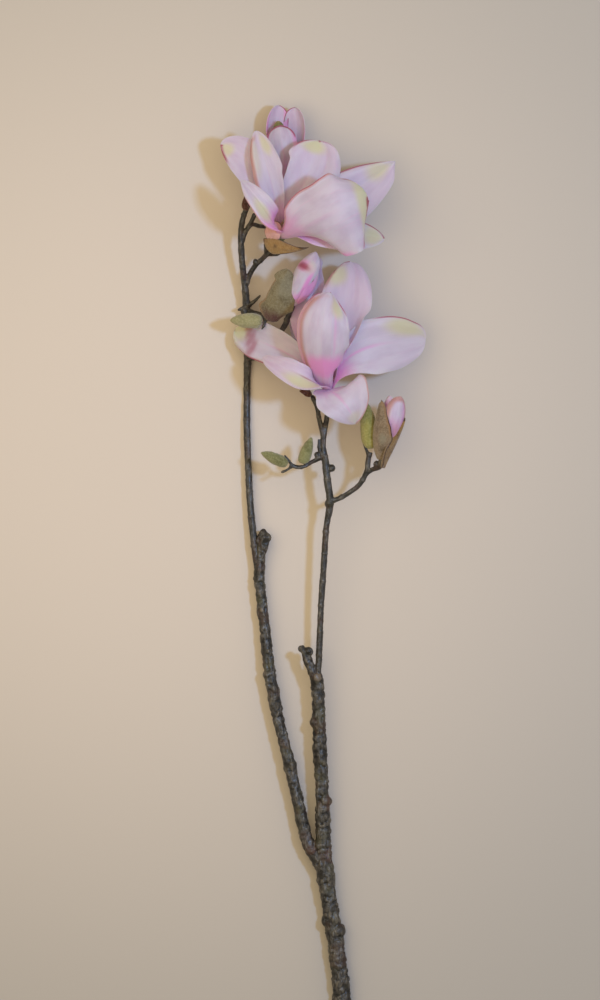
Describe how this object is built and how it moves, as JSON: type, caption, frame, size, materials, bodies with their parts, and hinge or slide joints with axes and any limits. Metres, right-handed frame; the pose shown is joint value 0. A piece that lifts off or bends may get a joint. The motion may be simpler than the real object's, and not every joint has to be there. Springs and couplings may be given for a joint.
{
  "type": "saucer magnolia branch",
  "caption": "Cut magnolia branch with open saucer blooms, swelling pink buds, green felted buds and small leaf buds on a forked woody stem, lying on its side.",
  "frame": {"origin": "on the surface the branch lies on, under the middle of its bounding box", "axes": "+Z up from the surface towards the viewer, +Y along the stem from the cut end to the upper bloom, +X to the right of a viewer who looks down with +Y up"},
  "size_m": [0.165, 0.8001, 0.0966],
  "materials": {
    "bark": "rough grey-brown bark",
    "tepal": "soft satin lilac white, deep pink at the base",
    "stamen": "matte rose pink",
    "carpel": "matte yellow green",
    "green_felt": "green felt with short hairs",
    "brown_felt": "brown-green felt",
    "ochre_felt": "ochre felt",
    "bud_red": "satin dark red"
  },
  "bodies": {
    "root": {"branch_wood": "bark", "upper_bloom_tepals": "tepal", "upper_bloom_stamens": "stamen", "upper_bloom_carpels": "carpel", "lower_bloom_tepals": "tepal", "lower_bloom_stamens": "stamen", "lower_bloom_carpels": "carpel", "upper_bud_tepals": "tepal", "middle_bud_tepals": "tepal", "right_bud_tepals": "tepal", "fuzzy_bud_right": "green_felt", "fuzzy_bud_twig_low": "green_felt", "fuzzy_bud_twig_high": "green_felt", "fuzzy_bud_left": "green_felt", "leaf_bud_top": "bud_red", "leaf_bud_red": "bud_red", "upper_bloom_scale_outer": "ochre_felt", "upper_bloom_scale_inner": "brown_felt", "middle_bud_scale": "brown_felt", "right_bud_scale_left": "brown_felt", "right_bud_scale_right": "ochre_felt"}
  },
  "joints": []
}
